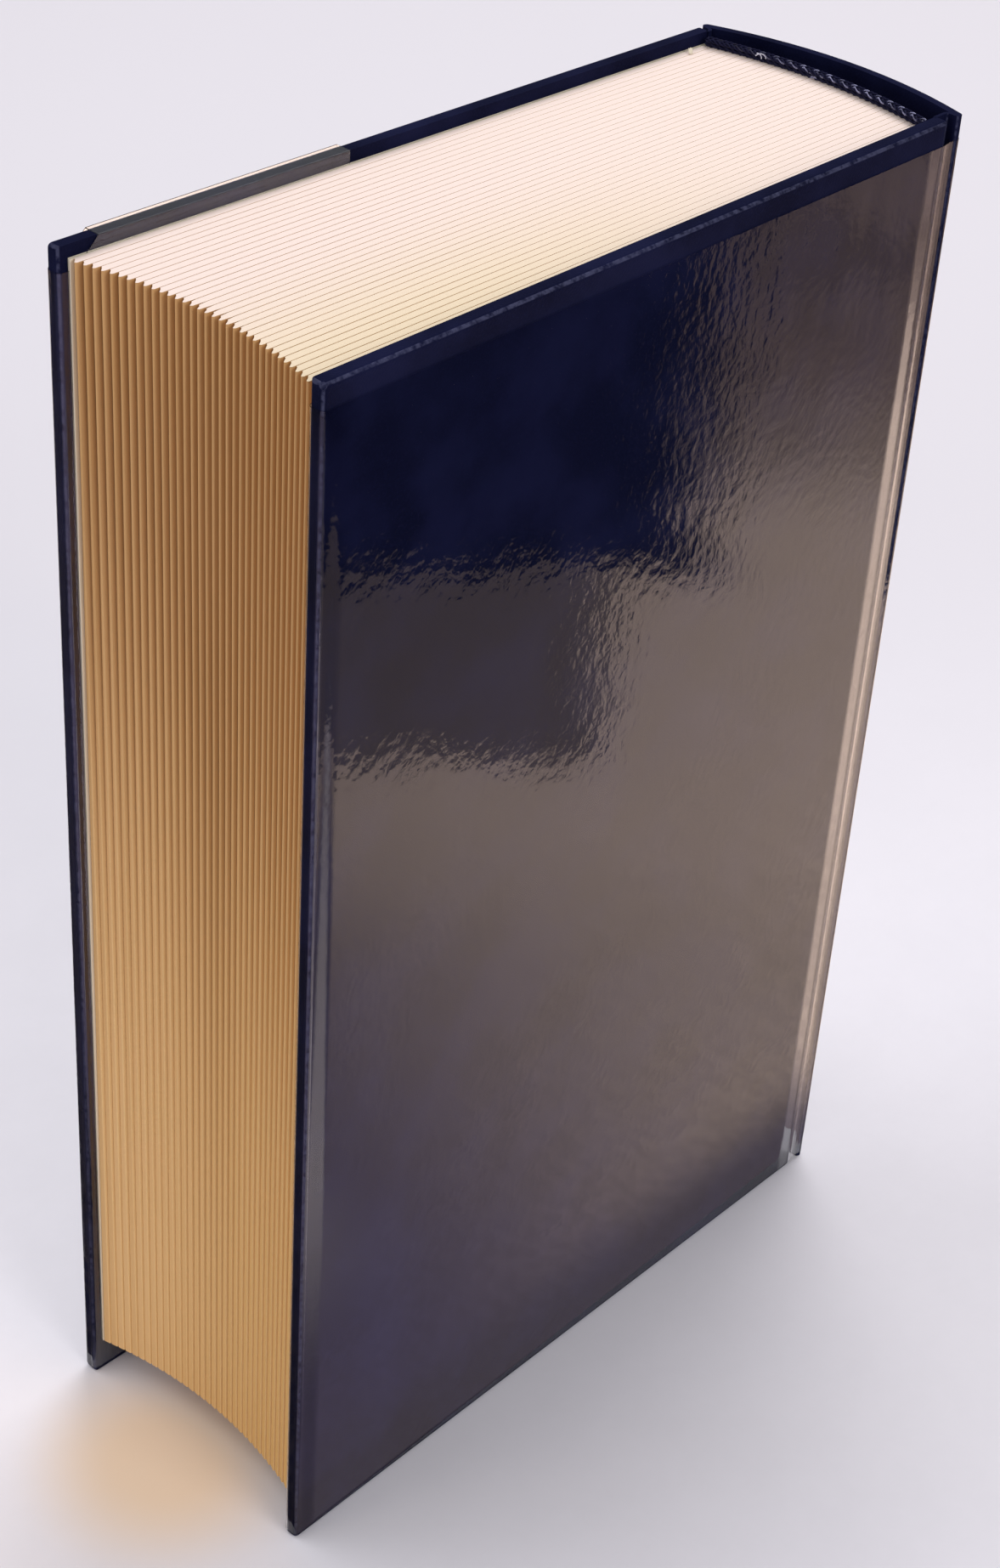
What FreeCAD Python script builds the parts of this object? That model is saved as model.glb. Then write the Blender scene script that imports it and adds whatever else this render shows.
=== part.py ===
import FreeCAD, Part
import math
import os

from FreeCAD import Vector

# A thick case-bound book that stands on its tail edge, in a clear film jacket.
# X runs from the spine to the fore-edge, Y from the front cover to the rear cover, Z up.
# All sizes are in millimetres. Covers and case are measured over their outer layer.

# Case
CASE_HEIGHT = 240.0
COVER_WIDTH = 149.0
THICKNESS_AT_HINGES = 57.0
THICKNESS_AT_FORE_EDGE = 61.0
BOARD = 2.2
CLOTH = 0.3
EDGE_ROUND = 0.9
TURN_IN = 15.0

# Spine of the case: a card strip under the cloth, with a groove beside each board
GROOVE = 2.6
GROOVE_RISE = 0.7
SPINE_CROWN = 5.9
SHOULDER_DROP = 0.15
SHOULDER_POINT = 2.2
SHOULDER_ROUND = 0.9
GROOVE_ROUND = 0.5
SPINE_SKEW = 1.2
STRIP = 1.0
STRIP_INSET = 0.8

# Clear jacket
FILM = 0.12
FILM_HEAD_GAP = 4.3
FILM_TAIL_GAP = 1.1
FLAP = 60.0
FILM_DIP = 0.08
TAB_DROP = 3.0
TAB_CORNER = 3.5

# Sewn text block
SECTIONS = 34
HEAD_SQUARE = 2.2
TAIL_SQUARE = 7.9
FORE_SQUARE = 2.0
SPINE_SETBACK = 1.6
BLOCK_ROUND = 3.2
FOLD_DEPTH = 0.35
FORE_HOLLOW = 4.0
FRONT_LEAN = 0.75
REAR_LEAN = 1.15
SECTION_GAP = 0.16
OPEN_SECTION_GAP = 0.42
SECTION_CORNER = 0.34
NOTCH_DEPTH = 0.35
OPEN_NOTCH_DEPTH = 2.2
OPEN_NOTCH_SPAN = 0.3
TAIL_SHARE = 0.15
LEAF_GROOVE = 0.16

# Endpapers, bands and spine linings
ENDPAPER = 0.2
BAND_RADIUS = 0.95
BAND_TONGUE = 10.0
LINING = 0.3
MULL_MARGIN = 12.0

# Clearances
COVER_PLAY = 0.15
JOINT_GAP = 0.1
GLUE_GAP = 0.03

# Places worked out from the sizes
SPLAY = math.asin((THICKNESS_AT_FORE_EDGE - THICKNESS_AT_HINGES) / 2 / COVER_WIDTH)
COVER_RUN = COVER_WIDTH * math.cos(SPLAY)
SPINE_DEPTH = GROOVE + SPINE_CROWN + GLUE_GAP + FILM
HINGE_X = (COVER_RUN + SPINE_DEPTH) / 2 - COVER_RUN
OUTER_Y = THICKNESS_AT_HINGES / 2

# Depths below the outer face of a cover, through its layers
CLOTH_FACE = -FILM
BOARD_FACE = CLOTH_FACE - CLOTH
BOARD_BACK = BOARD_FACE - BOARD
TURN_IN_BACK = BOARD_BACK - CLOTH
PASTEDOWN_BACK = TURN_IN_BACK - ENDPAPER
FLAP_BACK = PASTEDOWN_BACK - FILM
FLYLEAF_FACE = FLAP_BACK - COVER_PLAY
BLOCK_FACE = FLYLEAF_FACE - ENDPAPER

BLOCK_BOTTOM = TAIL_SQUARE
BLOCK_TOP = CASE_HEIGHT - HEAD_SQUARE
BLOCK_SPINE_X = HINGE_X + SPINE_SETBACK
BLOCK_FORE_X = HINGE_X + (COVER_WIDTH - FORE_SQUARE) * math.cos(SPLAY)
FILM_TOP = CASE_HEIGHT - FILM_HEAD_GAP


def box(x0, x1, y0, y1, z0, z1):
    return Part.makeBox(x1 - x0, y1 - y0, z1 - z0, Vector(x0, y0, z0))


def prism(face, bottom, top):
    face = face.copy()
    face.translate(Vector(0, 0, bottom))
    return face.extrude(Vector(0, 0, top - bottom))


def line(p, q):
    return Part.makeLine(Vector(p[0], p[1], 0), Vector(q[0], q[1], 0))


def arc(p, m, q):
    points = [Vector(a[0], a[1], 0) for a in (p, m, q)]
    return Part.Arc(*points).toShape()


def edges_along(solid, axis, *planes):
    """Straight edges parallel to an axis that lie in every given (axis, position) plane."""
    found = []
    for edge in solid.Edges:
        b = edge.BoundBox
        low = dict(x=b.XMin, y=b.YMin, z=b.ZMin)
        high = dict(x=b.XMax, y=b.YMax, z=b.ZMax)
        if high[axis] - low[axis] < 0.9 * edge.Length:
            continue
        if all(abs(low[a] - p) < 1e-6 and abs(high[a] - p) < 1e-6 for a, p in planes):
            found.append(edge)
    return found


# Text block

def half_thickness(x):
    """Half the thickness of the text block at x: its sides lie parallel to the covers."""
    return OUTER_Y + (x - HINGE_X) * math.tan(SPLAY) + BLOCK_FACE / math.cos(SPLAY)


BLOCK_HALF = half_thickness(BLOCK_SPINE_X)
BLOCK_RADIUS = (BLOCK_HALF ** 2 + BLOCK_ROUND ** 2) / (2 * BLOCK_ROUND)
BLOCK_CENTRE_X = BLOCK_SPINE_X - BLOCK_ROUND + BLOCK_RADIUS


def back_x(y):
    """The rounded back of the text block."""
    return BLOCK_CENTRE_X - math.sqrt(BLOCK_RADIUS ** 2 - y ** 2)


def on_side(share, x):
    """A point of the boundary between two sections. Share runs from -1 (front) to 1 (rear)."""
    return (x, share * half_thickness(x))


def fore_corners(index, spread):
    """Fore-edge positions of a section's front and rear corners.

    The sections were trimmed flush. They all lean one way now, so that each rear corner
    stands out and the next section starts further in. Spread is 1 where they lean fully.
    """
    share = -1 + (2 * index + 1) / SECTIONS
    middle = BLOCK_FORE_X - FORE_HOLLOW * (1 - share ** 2)
    lean = FRONT_LEAN + (REAR_LEAN - FRONT_LEAN) * (share + 1) / 2
    follow = 2 * FORE_HOLLOW * share / SECTIONS * (1 - spread)
    return middle - spread * lean / 2 - follow, middle + spread * lean / 2 + follow


def opening(boundary):
    """How far the gap beside a section stands open: 1 in the middle of the block, 0 at its sides."""
    share = -1 + 2 * boundary / SECTIONS
    return max(0.0, 1 - (share / OPEN_NOTCH_SPAN) ** 2)


def notch_root(boundary, spread):
    """How far back the gap beside a section reaches."""
    corners = []
    if boundary > 0:
        corners.append(fore_corners(boundary - 1, spread)[1])
    if boundary < SECTIONS:
        corners.append(fore_corners(boundary, spread)[0])
    return min(corners) - NOTCH_DEPTH - spread * OPEN_NOTCH_DEPTH * opening(boundary)


def gap_width(boundary, spread):
    return SECTION_GAP + (OPEN_SECTION_GAP - SECTION_GAP) * opening(boundary) * spread


def section_fore_edge(index, spread):
    """Outline of one section's fore-edge, from its front boundary to its rear one."""
    share_a = -1 + 2 * index / SECTIONS
    share_b = -1 + 2 * (index + 1) / SECTIONS
    xa, xb = fore_corners(index, spread)
    r = SECTION_CORNER * (1 + spread) / 2
    ya = on_side(share_a, xa)[1] + gap_width(index, spread) / 2
    yb = on_side(share_b, xb)[1] - gap_width(index + 1, spread) / 2
    root_a = on_side(share_a, notch_root(index, spread))
    root_b = on_side(share_b, notch_root(index + 1, spread))
    bow = r * math.sqrt(0.5)
    return [
        line(root_a, (xa - r, ya)),
        arc((xa - r, ya), (xa - r + bow, ya + r - bow), (xa, ya + r)),
        line((xa, ya + r), (xb, yb - r)),
        arc((xb, yb - r), (xb - r + bow, yb - r + bow), (xb - r, yb)),
        line((xb - r, yb), root_b),
    ]


def section_fold(index):
    """Folded back edge of one section, from its rear boundary to its front one."""
    ends = []
    for share in (-1 + 2 * (index + 1) / SECTIONS, -1 + 2 * index / SECTIONS):
        y = share * BLOCK_HALF
        ends.append((back_x(y) + FOLD_DEPTH, y))
    y = (ends[0][1] + ends[1][1]) / 2
    return arc(ends[0], (back_x(y), y), ends[1]), ends


def leaf_groove(share, z, inward):
    """Fine groove between two sections, sunk into the head or the tail."""
    start = on_side(share, BLOCK_SPINE_X - 2 * BLOCK_ROUND)
    end = on_side(share, BLOCK_FORE_X + 1)
    w = LEAF_GROOVE / 2
    corners = [(-w, -inward * w), (w, -inward * w), (0, inward * 2 * w)]
    points = [Vector(start[0], start[1] + c[0], z + c[1]) for c in corners]
    face = Part.Face(Part.makePolygon(points + points[:1]))
    return face.extrude(Vector(end[0] - start[0], end[1] - start[1], 0))


def block_outline(spread, z):
    """Plan of the text block at one height."""
    edges = []
    for index in range(SECTIONS):
        edges += section_fore_edge(index, spread)
    folds = [section_fold(index) for index in range(SECTIONS)]
    edges.append(line(on_side(1, notch_root(SECTIONS, spread)), folds[-1][1][0]))
    edges += [fold[0] for fold in reversed(folds)]
    edges.append(line(folds[0][1][1], on_side(-1, notch_root(0, spread))))
    outline = Part.Wire(edges)
    outline.translate(Vector(0, 0, z))
    return outline


def text_block():
    """The sections lean fully at the head and lie nearly flush at the tail."""
    outlines = [block_outline(TAIL_SHARE, BLOCK_BOTTOM), block_outline(1.0, BLOCK_TOP)]
    block = Part.makeLoft(outlines, True, True)
    grooves = []
    for boundary in range(1, SECTIONS):
        share = -1 + 2 * boundary / SECTIONS
        grooves.append(leaf_groove(share, BLOCK_TOP, -1))
        grooves.append(leaf_groove(share, BLOCK_BOTTOM, 1))
    return block.cut(grooves)


# What is glued to the back of the text block

def around_back(profile_face):
    """Sweep a radial section, drawn at y = 0, along the rounded back of the text block."""
    centre = Vector(BLOCK_CENTRE_X, 0, 0)
    half = math.degrees(math.asin((BLOCK_HALF - FOLD_DEPTH) / BLOCK_RADIUS))
    start = profile_face.copy()
    start.rotate(centre, Vector(0, 0, 1), -half)
    return start.revolve(centre, Vector(0, 0, 1), 2 * half)


def radial_rectangle(out0, out1, z0, z1):
    """Rectangle at y = 0, from out0 to out1 behind the rounded back."""
    back = BLOCK_CENTRE_X - BLOCK_RADIUS
    points = [Vector(back - o, 0, z) for o, z in ((out0, z0), (out1, z0), (out1, z1), (out0, z1))]
    return Part.Face(Part.makePolygon(points + points[:1]))


def end_band(edge_z, outward):
    """Corded band on the head or tail of the text block, with its tape down the back."""
    back = BLOCK_CENTRE_X - BLOCK_RADIUS
    bead_z = edge_z + outward * (BAND_RADIUS + GLUE_GAP)
    circle = Part.makeCircle(BAND_RADIUS, Vector(back + 0.2, 0, bead_z), Vector(0, 1, 0))
    bead = around_back(Part.Face(Part.Wire(circle)))
    z = sorted((edge_z - outward * BAND_TONGUE, bead_z))
    tongue = around_back(radial_rectangle(GLUE_GAP, GLUE_GAP + LINING, z[0], z[1]))
    return bead.fuse(tongue)


def spine_mull():
    return around_back(radial_rectangle(GLUE_GAP, GLUE_GAP + LINING,
                                        BLOCK_BOTTOM + MULL_MARGIN, BLOCK_TOP - MULL_MARGIN))


def spine_lining():
    inner = GLUE_GAP + LINING
    return around_back(radial_rectangle(inner, inner + LINING, BLOCK_BOTTOM + 1, BLOCK_TOP - 1))


# Back of the case

SHOULDER_Y = OUTER_Y - SHOULDER_DROP + SHOULDER_POINT
GROOVE_Y = OUTER_Y + BOARD_BACK
SPINE_RADIUS = (SHOULDER_Y ** 2 + SPINE_CROWN ** 2) / (2 * SPINE_CROWN)
SKEW_ANGLE = math.atan(SPINE_SKEW / SHOULDER_Y)


def skewed(x, y):
    """A point of the straight spine, turned with the spine, which leans to one side."""
    c, s = math.cos(SKEW_ANGLE), math.sin(SKEW_ANGLE)
    return (HINGE_X - GROOVE + x * c - y * s, x * s + y * c)


def spine_points(out, width=SHOULDER_Y):
    """Rear shoulder, crown and front shoulder of the spine before rounding, moved outward."""
    reach = SPINE_RADIUS + out
    half = math.asin(width / reach)
    centre = SPINE_RADIUS - SPINE_CROWN
    return [skewed(centre - reach * math.cos(a), reach * math.sin(a)) for a in (half, 0, -half)]


def rounded_region(edges, corners):
    """Closed region of the plan, with its named corners rounded."""
    block = prism(Part.Face(Part.Wire(edges)), 0, 1)
    for point, radius in corners:
        upright = [e for e in block.Edges
                   if abs(e.BoundBox.ZLength - 1) < 1e-6
                   and math.hypot(e.BoundBox.XMin - point[0], e.BoundBox.YMin - point[1]) < 1e-3]
        block = block.makeFillet(radius, upright)
    base = [f for f in block.Faces if f.BoundBox.ZMax < 1e-6][0]
    return Part.Face(base.OuterWire)


def groove_corners(side, depth):
    """Foot and shoulder of one groove's wall, in a skin at a depth. Side is 1 at the rear."""
    shoulder = spine_points(0)[1 - side]
    run, drop = GROOVE_RISE, side * GROOVE_Y - shoulder[1]
    length = math.hypot(run, drop)
    ux, uy = run / length, drop / length
    px, py = shoulder[0] + side * uy * depth, shoulder[1] - side * ux * depth
    down = (side * (GROOVE_Y - depth) - py) / uy
    centre = skewed(SPINE_RADIUS - SPINE_CROWN, 0)
    gx, gy = px - centre[0], py - centre[1]
    b = gx * ux + gy * uy
    up = -b - math.sqrt(b * b - gx * gx - gy * gy + (SPINE_RADIUS - depth) ** 2)
    return (px + ux * down, py + uy * down), (px + ux * up, py + uy * up)


def case_back_region(depth):
    """Plan of the case's back, at a depth below the outer face of the cloth."""
    crown = spine_points(-depth)[1]
    rear_foot, rear = groove_corners(1, depth)
    front_foot, front = groove_corners(-1, depth)
    inside = (HINGE_X + SPINE_DEPTH, GROOVE_Y - depth)
    edges = [
        line(inside, rear_foot),
        line(rear_foot, rear),
        arc(rear, crown, front),
        line(front, front_foot),
        line(front_foot, (inside[0], -inside[1])),
        line((inside[0], -inside[1]), inside),
    ]
    corners = [(rear_foot, GROOVE_ROUND + depth), (front_foot, GROOVE_ROUND + depth),
               (rear, SHOULDER_ROUND - depth), (front, SHOULDER_ROUND - depth)]
    return rounded_region(edges, corners)


def film_back_region(depth):
    """Plan of the jacket round the back: it spans the grooves with a shallow dip."""
    side = OUTER_Y - depth
    rear, crown, front = spine_points(GLUE_GAP + FILM - depth, side)
    inside = HINGE_X + SPINE_DEPTH
    edges = [line((inside, side), (HINGE_X, side))]
    for start, end in (((HINGE_X, side), rear), (front, (HINGE_X, -side))):
        dx, dy = end[0] - start[0], end[1] - start[1]
        middle = ((start[0] + end[0]) / 2 - FILM_DIP * dy, (start[1] + end[1]) / 2 + FILM_DIP * dx)
        edges.append(arc(start, middle, end))
        if end == rear:
            edges.append(arc(rear, crown, front))
    edges.append(line((HINGE_X, -side), (inside, -side)))
    edges.append(line((inside, -side), (inside, side)))
    radius = SHOULDER_ROUND + GLUE_GAP + FILM - depth
    return rounded_region(edges, [(rear, radius), (front, radius)])


def layer(outer, inner, bottom, top):
    """Skin between two plan regions, cut off at the covers' hinge edges."""
    reach = OUTER_Y + 1
    back = box(HINGE_X - 2 * SPINE_DEPTH, HINGE_X - JOINT_GAP, -reach, reach, bottom, top)
    return prism(outer.cut(inner), bottom, top).common(back)


def spine_ring(depth0, depth1, half):
    """Plan of a skin that follows the spine's curve, between two depths, to a half width."""
    ends = []
    for depth in (depth0, depth1):
        reach = SPINE_RADIUS - depth
        angle = math.asin(half / reach)
        centre = SPINE_RADIUS - SPINE_CROWN
        ends.append([skewed(centre - reach * math.cos(a), reach * math.sin(a))
                     for a in (angle, 0, -angle)])
    outer, inner = ends
    edges = [arc(*outer), line(outer[2], inner[2]), arc(*inner[::-1]), line(inner[0], outer[0])]
    return Part.Face(Part.Wire(edges))


def spine_strip():
    """Flexible card that stiffens the spine of the case."""
    ring = spine_ring(CLOTH, CLOTH + STRIP, SHOULDER_Y - STRIP_INSET)
    return prism(ring.common(case_back_region(CLOTH)), CLOTH, CASE_HEIGHT - CLOTH)


def spine_cloth():
    """Cloth over the spine and both grooves, turned in over the strip at head and tail."""
    region = case_back_region(0)
    cloth = layer(region, case_back_region(CLOTH), 0, CASE_HEIGHT)
    around_strip = spine_ring(0, 2 * CLOTH + STRIP, SHOULDER_Y).common(region)
    for bottom, top in ((0, TURN_IN), (CASE_HEIGHT - TURN_IN, CASE_HEIGHT)):
        double = layer(region, case_back_region(2 * CLOTH), bottom, top)
        cloth = cloth.fuse([prism(around_strip, bottom, top), double])
    return cloth.cut(spine_strip()).removeSplitter()


def spine_film():
    return layer(film_back_region(0), film_back_region(FILM), FILM_TAIL_GAP, FILM_TOP)


# Covers. Each is drawn lying in the plane y = 0, with its hinge edge at x = 0 and
# its outer face towards +Y, then turned and moved to its place.

def round_edges(solid, radius, width0, width1, outer, inner, bottom, top):
    """Round the long edges of a cover's body: all outer ones and the inner fore-edge."""
    edges = edges_along(solid, "z", ("x", width0), ("y", outer))
    edges += edges_along(solid, "z", ("x", width1), ("y", outer))
    edges += edges_along(solid, "z", ("x", width1), ("y", inner))
    for z in (bottom, top):
        edges += edges_along(solid, "x", ("z", z), ("y", outer))
        edges += edges_along(solid, "y", ("z", z), ("x", width1))
    return solid.makeFillet(radius, edges)


def board():
    x0, x1 = CLOTH, COVER_WIDTH - FILM - CLOTH
    z0, z1 = CLOTH, CASE_HEIGHT - CLOTH
    solid = box(x0, x1, BOARD_BACK, BOARD_FACE, z0, z1)
    return round_edges(solid, EDGE_ROUND - CLOTH, x0, x1, BOARD_FACE, BOARD_BACK, z0, z1)


def cover_cloth():
    """Cloth over one board, folded over three edges onto its inner face."""
    x1 = COVER_WIDTH - FILM
    solid = box(0, x1, TURN_IN_BACK, CLOTH_FACE, 0, CASE_HEIGHT)
    solid = round_edges(solid, EDGE_ROUND, 0, x1, CLOTH_FACE, TURN_IN_BACK, 0, CASE_HEIGHT)
    window = box(-1, x1 - TURN_IN, TURN_IN_BACK - 1, BOARD_BACK, TURN_IN, CASE_HEIGHT - TURN_IN)
    return solid.cut([board(), window])


def pastedown():
    """Half of an endpaper, pressed down over the edges of the turned-in cloth."""
    x1 = COVER_WIDTH - FORE_SQUARE - FILM
    sheet = box(CLOTH, x1, PASTEDOWN_BACK, BOARD_BACK, BLOCK_BOTTOM, BLOCK_TOP)
    hollow = box(-1, COVER_WIDTH - FILM - TURN_IN - ENDPAPER,
                 PASTEDOWN_BACK - 1, BOARD_BACK - ENDPAPER,
                 TURN_IN + ENDPAPER, CASE_HEIGHT - TURN_IN - ENDPAPER)
    return sheet.cut([cover_cloth(), hollow])


def film_sleeve(depth, hinge_end, bottom, top):
    """Solid inside the folded jacket panel, at a depth below the film's outer face."""
    x1 = COVER_WIDTH - depth
    outer, inner = -depth, FLAP_BACK + depth
    solid = box(hinge_end, x1, inner, outer, bottom, top)
    edges = edges_along(solid, "z", ("x", x1), ("y", outer))
    edges += edges_along(solid, "z", ("x", x1), ("y", inner))
    return solid.makeFillet(EDGE_ROUND + FILM - depth, edges)


def jacket_panel():
    """Jacket film over one cover, folded round the fore-edge into a flap."""
    sleeve = film_sleeve(0, JOINT_GAP, FILM_TAIL_GAP, FILM_TOP)
    hollow = film_sleeve(FILM, -1, FILM_TAIL_GAP - 1, FILM_TOP + 1)
    open_back = box(-1, COVER_WIDTH - FLAP, FLAP_BACK - 1, BOARD_FACE, 0, CASE_HEIGHT)
    return sleeve.cut([hollow, open_back])


def head_tab():
    """Part of the front flap that is folded over the head edge of the front board."""
    x0, x1 = COVER_WIDTH - FLAP, COVER_WIDTH - TAB_CORNER
    low = FILM_TOP - TAB_CORNER
    top = CASE_HEIGHT + FILM
    tab = box(x0, x1, FLAP_BACK, 0, low, top)
    tab = tab.cut([box(x0 - 1, x1 + 1, PASTEDOWN_BACK, CLOTH_FACE, low - 1, CASE_HEIGHT),
                   box(x0 - 1, x1 + 1, PASTEDOWN_BACK, 1, low - 1, CASE_HEIGHT - TAB_DROP)])
    drop = top - FILM_TOP
    points = [Vector(x1 - drop, 1, top), Vector(x1 + 1, 1, top), Vector(x1 + 1, 1, FILM_TOP - 1)]
    mitre = Part.Face(Part.makePolygon(points + points[:1])).extrude(Vector(0, FLAP_BACK - 2, 0))
    return tab.cut(mitre)


def flyleaf():
    """Free half of an endpaper, against the side of the text block."""
    return box(SPINE_SETBACK, COVER_WIDTH - FORE_SQUARE, BLOCK_FACE, FLYLEAF_FACE,
               BLOCK_BOTTOM, BLOCK_TOP)


def at_rear(solid):
    placed = solid.copy()
    placed.rotate(Vector(0, 0, 0), Vector(0, 0, 1), math.degrees(SPLAY))
    placed.translate(Vector(HINGE_X, OUTER_Y, 0))
    return placed


def at_front(solid):
    return at_rear(solid).mirror(Vector(0, 0, 0), Vector(0, 1, 0))


def write(name, shape):
    solids = shape.Solids
    if len(solids) != 1 or not solids[0].isValid():
        raise ValueError("%s has %d solids" % (name, len(solids)))
    solids[0].exportStep("parts/%s.step" % name)
    b = solids[0].BoundBox
    print("%-20s %10.1f mm3  x %.2f %.2f  y %.2f %.2f  z %.2f %.2f" % (
        name, solids[0].Volume, b.XMin, b.XMax, b.YMin, b.YMax, b.ZMin, b.ZMax))


def main():
    os.makedirs("parts", exist_ok=True)
    write("text_block", text_block())
    write("headband", end_band(BLOCK_TOP, 1))
    write("tailband", end_band(BLOCK_BOTTOM, -1))
    write("spine_mull", spine_mull())
    write("spine_lining", spine_lining())
    write("spine_strip", spine_strip())
    write("spine_cloth", spine_cloth())
    write("spine_film", spine_film())
    for side, place in (("front", at_front), ("rear", at_rear)):
        write(side + "_board", place(board()))
        write(side + "_cover_cloth", place(cover_cloth()))
        write(side + "_pastedown", place(pastedown()))
        write(side + "_flyleaf", place(flyleaf()))
    write("front_jacket_film", at_front(jacket_panel().fuse(head_tab()).removeSplitter()))
    write("rear_jacket_film", at_rear(jacket_panel()))


main()
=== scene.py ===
import bmesh
import bpy
import math
from mathutils import Matrix, Vector


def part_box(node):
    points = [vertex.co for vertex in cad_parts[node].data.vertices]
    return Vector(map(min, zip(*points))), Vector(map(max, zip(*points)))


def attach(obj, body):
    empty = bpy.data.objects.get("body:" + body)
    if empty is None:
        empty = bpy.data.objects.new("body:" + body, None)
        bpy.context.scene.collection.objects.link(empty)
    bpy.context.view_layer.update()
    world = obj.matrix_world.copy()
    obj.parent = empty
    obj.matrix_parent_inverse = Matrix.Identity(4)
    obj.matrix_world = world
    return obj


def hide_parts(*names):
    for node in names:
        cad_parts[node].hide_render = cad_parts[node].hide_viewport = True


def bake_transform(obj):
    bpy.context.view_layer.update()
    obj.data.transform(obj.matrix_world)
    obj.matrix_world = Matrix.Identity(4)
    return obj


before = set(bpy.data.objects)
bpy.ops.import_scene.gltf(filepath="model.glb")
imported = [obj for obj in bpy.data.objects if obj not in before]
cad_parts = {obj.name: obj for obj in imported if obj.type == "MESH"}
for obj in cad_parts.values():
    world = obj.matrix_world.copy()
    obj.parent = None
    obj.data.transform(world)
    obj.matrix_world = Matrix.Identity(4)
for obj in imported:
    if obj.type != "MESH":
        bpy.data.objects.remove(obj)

bl_info = {
    "name": "Hardback Book",
    "version": (1, 0, 0),
    "blender": (4, 5, 0),
    "location": "3D View > Sidebar > Book",
    "description": "Cloth, jacket film, paper and thread for a case-bound book",
    "category": "Object",
}

MM = 0.001
BLOCK_LOW, BLOCK_HIGH = (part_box("text_block")[i] for i in (0, 1))
HINGE_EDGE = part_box("rear_cover_cloth")[0].x   # edge of the covers, beside the spine
SPLAY = math.radians(0.769)                    # slant of each cover, which opens to the fore-edge
BLOCK_HALF = 24.91 * MM                        # half the thickness of the text block at HINGE_EDGE
LEVEL = 0.9998                                 # a face this square to an axis is shaded flat


# Node helpers

def put(tree, kind, values=(), **settings):
    """Add a node. A value that is a socket is linked, anything else is set on its input."""
    node = tree.nodes.new("ShaderNode" + kind)
    for key, value in settings.items():
        setattr(node, key, value)
    for key, value in dict(values).items():
        if isinstance(value, bpy.types.NodeSocket):
            tree.links.new(value, node.inputs[key])
        else:
            node.inputs[key].default_value = value
    return node


def calc(tree, operation, *values):
    """Result of one sum on one to three values."""
    return put(tree, "Math", enumerate(values), operation=operation).outputs[0]


def rise(tree, value, start, end, low=0.0, high=1.0):
    """Smooth step from low to high while the value goes from start to end."""
    return put(tree, "MapRange", {"Value": value, "From Min": start, "From Max": end,
                                  "To Min": low, "To Max": high},
               interpolation_type="SMOOTHSTEP").outputs[0]


def blend_colours(tree, share, first, second):
    node = put(tree, "Mix", {0: share, 6: first, 7: second}, data_type="RGBA")
    return node.outputs[2]


def rgb(colour):
    return (colour[0], colour[1], colour[2], 1.0)


def place(tree, stretch=(1, 1, 1)):
    """Object coordinates, stretched along the axes."""
    coordinates = put(tree, "TexCoord").outputs["Object"]
    if tuple(stretch) == (1, 1, 1):
        return coordinates
    return put(tree, "VectorMath", {0: coordinates, 1: stretch}, operation="MULTIPLY").outputs[0]


def axes(tree, vector):
    parts = put(tree, "SeparateXYZ", {0: vector})
    return parts.outputs[0], parts.outputs[1], parts.outputs[2]


def noise(tree, vector, scale, detail=3.0, roughness=0.5, twist=0.0):
    return put(tree, "TexNoise", {"Vector": vector, "Scale": scale, "Detail": detail,
                                  "Roughness": roughness, "Distortion": twist}).outputs[0]


def facing(tree):
    """How far the surface faces each axis, without its sign."""
    normal = put(tree, "NewGeometry").outputs["True Normal"]
    return axes(tree, put(tree, "VectorMath", {0: normal}, operation="ABSOLUTE").outputs[0])


def rounded_edge(tree):
    """1 in the middle of a rounded edge and 0 on the faces beside it."""
    normal = put(tree, "NewGeometry").outputs["Normal"]
    nx, ny, nz = axes(tree, put(tree, "VectorMath", {0: normal}, operation="ABSOLUTE").outputs[0])
    pairs = [calc(tree, "MULTIPLY", a, b) for a, b in ((nx, ny), (ny, nz), (nz, nx))]
    return calc(tree, "ADD", calc(tree, "ADD", pairs[0], pairs[1]), pairs[2])


def new_finish(name):
    material = bpy.data.materials.new(name)
    material.use_nodes = True
    material.node_tree.nodes.clear()
    return material, material.node_tree


def close_finish(tree, shader):
    put(tree, "OutputMaterial", {"Surface": shader})


def bump(tree, height, distance, strength=1.0, under=None):
    values = {"Height": height, "Distance": distance, "Strength": strength}
    if under is not None:
        values["Normal"] = under
    return put(tree, "Bump", values).outputs[0]


def product(tree, *values):
    """Product of two or more values."""
    result = values[0]
    for value in values[1:]:
        result = calc(tree, "MULTIPLY", result, value)
    return result


def layered(tree, base, *layers):
    """Lay colours over a base colour, each by its own share."""
    for share, colour in layers:
        base = blend_colours(tree, share, base, rgb(colour))
    return base


def matte(tree, colour, roughness, specular=0.5, height=None, depth=0.0, strength=0.6):
    """Close a finish with an opaque shader, and with a bump where a height is given."""
    values = {"Base Color": colour, "Roughness": roughness, "Specular IOR Level": specular}
    if height is not None:
        values["Normal"] = bump(tree, height, depth, strength)
    close_finish(tree, put(tree, "BsdfPrincipled", values).outputs[0])


# Finishes

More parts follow.
